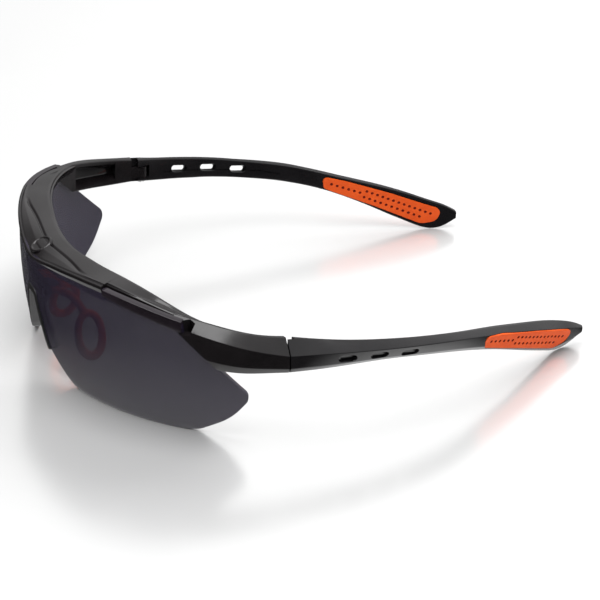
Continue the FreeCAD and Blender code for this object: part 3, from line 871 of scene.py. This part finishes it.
# The path of the pad's arm: its steps, each with a point, and its radius at both ends.
PAD_ARM = [
    (0, 6.0, -77.0, 25.4),
    (1, 6.2, -73.6, 25.0),
    (2, 7.6, -70.2, 22.6),
    (3, 9.4, -67.6, 18.4),
]
ARM_RADIUS, ARM_END_RADIUS = 1.35, 1.1
PAD_VOXEL = 0.28


def make_pad():
    """A soft oval loop on an arm that reaches forward to the bridge, moulded as one piece."""
    bm = bmesh.new()
    turn = Matrix.Translation(PAD_MIDDLE) @ Matrix.Rotation(math.radians(-PAD_SPLAY), 4, "Y")
    rings = []
    for a in np.linspace(0, 2 * math.pi, 65)[:-1]:
        wide = PAD_WIDE + PAD_EXTRA * max(0.0, -math.sin(a))
        out = Vector((0, math.cos(a) / PAD_HALF_DEPTH, math.sin(a) / PAD_HALF_HEIGHT)).normalized()
        centre_y = (PAD_HALF_DEPTH - PAD_WIDE) * math.cos(a)
        centre = Vector((0, centre_y, (PAD_HALF_HEIGHT - wide) * math.sin(a)))
        across = Vector((PAD_THIN, 0, 0))
        rings.append([turn @ (centre + across * math.sin(b) + out * wide * math.cos(b))
                      for b in np.linspace(0, 2 * math.pi, 17)[:-1]])
    add_loft(bm, rings + [rings[0]], closed_ends=False)
    steps = np.linspace(0, PAD_ARM[-1][0], 25)
    route = [Vector(p) for p in spline(PAD_ARM, steps)]
    sections = []
    for i, point in enumerate(route):
        along = along_path(route, i)
        side = along.cross(Vector((1, 0, 0))).normalized()
        other = along.cross(side)
        radius = ARM_RADIUS + (ARM_END_RADIUS - ARM_RADIUS) * i / (len(route) - 1)
        sections.append([point + side * radius * math.cos(t) + other * radius * math.sin(t)
                         for t in np.linspace(0, 2 * math.pi, 21)[:-1]])
    add_loft(bm, sections)
    pad = piece_from(bm, "nose_pad_soft_left", NOSE_ORANGE)
    remesh = pad.modifiers.new("blend", "REMESH")
    remesh.mode = "VOXEL"
    remesh.voxel_size = PAD_VOXEL * MM
    smooth = pad.modifiers.new("smooth", "SMOOTH")
    smooth.iterations = 12
    smooth.factor = 0.5
    applied(pad)
    pad.data.materials.clear()
    pad.data.materials.append(NOSE_ORANGE)
    pad.data.shade_smooth()
    return pad


# ---------------------------------------------------------------- assembly


def place_piece(piece, body, slot, *nodes):
    """Makes the piece ride on a body, in place of CAD nodes."""
    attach(piece, body)
    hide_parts(*nodes)


def make_object():
    place_piece(make_lens(), FRONT, "lens_smoke", "lens")
    rail = make_rail()
    place_piece(mirrored(rail, "lens_rail_right"), FRONT, "lens_smoke", "lens")
    place_piece(rail, FRONT, "lens_smoke", "lens")

    place_piece(make_brow_middle(), FRONT, "frame_black", "brow_frame")
    for name, maker in (("brow_side", make_brow_side), ("brow_end", make_end)):
        left = combined(maker(), "DIFFERENCE", [upright_tool(RECESS, RECESS_LOW, RECESS_HIGH)])
        left.name = name + "_left"
        place_piece(mirrored(left, name + "_right"), FRONT, "frame_black", "brow_frame")
        place_piece(left, FRONT, "frame_black", "brow_frame")
    place_piece(make_medallion(), FRONT, "frame_black", "brow_frame")

    place_piece(make_bridge(), FRONT, "bridge_black", "nose_bridge")
    pad = make_pad()
    place_piece(mirrored(pad, "nose_pad_soft_right"), FRONT, "nose_orange", "nose_pad_right")
    place_piece(pad, FRONT, "nose_orange", "nose_pad_left")

    temple = make_temple()
    temple.name = "temple_arm_left"
    place_piece(mirrored(temple, "temple_arm_right"), RIGHT, "frame_black", "temple_right")
    place_piece(temple, LEFT, "frame_black", "temple_left")
    for node, place in (("grip_outer", outer_point), ("grip_inner", inner_point)):
        grip = make_grip(node + "_soft_left", place)
        place_piece(mirrored(grip, node + "_soft_right"), RIGHT, "grip_orange", node + "_right")
        place_piece(grip, LEFT, "grip_orange", node + "_left")

    # The screws are shown as the CAD made them.
    for node in ("hinge_screw_left", "hinge_screw_right"):
        screw = frame["nodes"][node]
        screw.data.materials.clear()
        screw.data.materials.append(SCREW_STEEL)


# ---------------------------------------------------------------- the stage

FLOOR_HALF_SIZE = 4000
FLOOR_DROP = 0.1
# The studio's brightness, by how far a direction points up, with a share of how far it points back,
# and what is added below, by how far it points down.
GLOW_ABOVE = [(0.0, 0.05), (0.12, 0.30), (0.45, 0.50), (0.68, 1.0), (1.0, 1.0)]
GLOW_DOWN = [(0.55, 0.0), (0.85, 1.0)]
GLOW_BELOW = 1.6
BACK_SHARE = 0.6


def make_floor():
    """A satin white table, just below the object, that gives soft reflections."""
    bm = bmesh.new()
    bmesh.ops.create_grid(bm, x_segments=8, y_segments=8, size=FLOOR_HALF_SIZE)
    material, tree, bsdf = shader("frosted_white", IOR=4.0, Specular_IOR_Level=0.5)
    vary(tree, bsdf, "Base Color", 6, 2, [(0.3, grey(0.55)), (0.75, grey(0.57))])
    vary(tree, bsdf, "Roughness", 40, 2, [(0.3, grey(0.20)), (0.75, grey(0.24))])
    floor = piece_from(bm, "floor", material)
    floor.location.z = -FLOOR_DROP * MM
    # Reflections see the studio and not the floor.
    floor.visible_glossy = False


def area_light(name, place, size, power, glossy):
    """A softbox that points at the object, and is seen in reflections or not."""
    data = bpy.data.lights.new(name, "AREA")
    data.shape = "RECTANGLE"
    data.size, data.size_y = size
    data.energy = power
    light = bpy.data.objects.new(name, data)
    light.location = place
    light.rotation_euler = (-Vector(place)).to_track_quat("-Z", "Y").to_euler()
    light.visible_glossy = glossy
    bpy.context.scene.collection.objects.link(light)


def scaled(tree, source, factor, added=None):
    """A number times a factor, plus another number."""
    node = tree.nodes.new("ShaderNodeMath")
    node.operation = "MULTIPLY_ADD"
    tree.links.new(source, node.inputs[0])
    node.inputs[1].default_value = factor
    node.inputs[2].default_value = 0.0
    if added is not None:
        tree.links.new(added, node.inputs[2])
    return node.outputs[0]


def glow(tree, source, stops):
    """Brightness along a direction, from (position, brightness) stops."""
    return ramp(tree, source, [(position, grey(value)) for position, value in stops])


def make_world():
    """A white studio: brighter overhead and behind, dark at the horizon, and bright right below."""
    world = bpy.data.worlds.new("studio")
    world.use_nodes = True
    tree = world.node_tree
    place = tree.nodes.new("ShaderNodeTexCoord")
    split = tree.nodes.new("ShaderNodeSeparateXYZ")
    tree.links.new(place.outputs["Generated"], split.inputs[0])
    up, back = split.outputs["Z"], split.outputs["Y"]
    above = glow(tree, scaled(tree, back, BACK_SHARE, up), GLOW_ABOVE)
    below = glow(tree, scaled(tree, up, -1.0), GLOW_DOWN)
    background = tree.nodes["Background"]
    background.inputs["Color"].default_value = grey(1.0)
    tree.links.new(scaled(tree, below, GLOW_BELOW, above), background.inputs["Strength"])
    bpy.context.scene.world = world


# The camera, in metres and degrees: turned about Z from the front, raised, and rolled.
CAMERA_TARGET = Vector((-0.010463, 0.010623, 0.0))
CAMERA_DISTANCE = 0.763557
CAMERA_AZIMUTH, CAMERA_ELEVATION, CAMERA_ROLL = 65.963, 27.090, 2.362
CAMERA_LENS = 144.558


def make_camera():
    azimuth, elevation = math.radians(CAMERA_AZIMUTH), math.radians(CAMERA_ELEVATION)
    away = math.cos(elevation)
    back = Vector((math.sin(azimuth) * away, -math.cos(azimuth) * away, math.sin(elevation)))
    camera = bpy.data.objects.new("camera", bpy.data.cameras.new("camera"))
    camera.data.sensor_width = 36
    camera.data.lens = CAMERA_LENS
    camera.data.clip_start = 0.01
    level = (-back).to_track_quat("-Z", "Y").to_matrix().to_4x4()
    roll = Matrix.Rotation(math.radians(CAMERA_ROLL), 4, "Z")
    camera.matrix_world = Matrix.Translation(CAMERA_TARGET + back * CAMERA_DISTANCE) @ level @ roll
    bpy.context.scene.collection.objects.link(camera)
    bpy.context.scene.camera = camera


make_object()
make_floor()
make_world()
area_light("rear_softbox", (-0.55, 0.75, 0.75), (1.1, 0.7), 12, glossy=False)
area_light("top_softbox", (0.1, -0.12, 1.1), (0.9, 0.9), 13, glossy=True)
make_camera()
bpy.context.scene.view_settings.view_transform = "Standard"
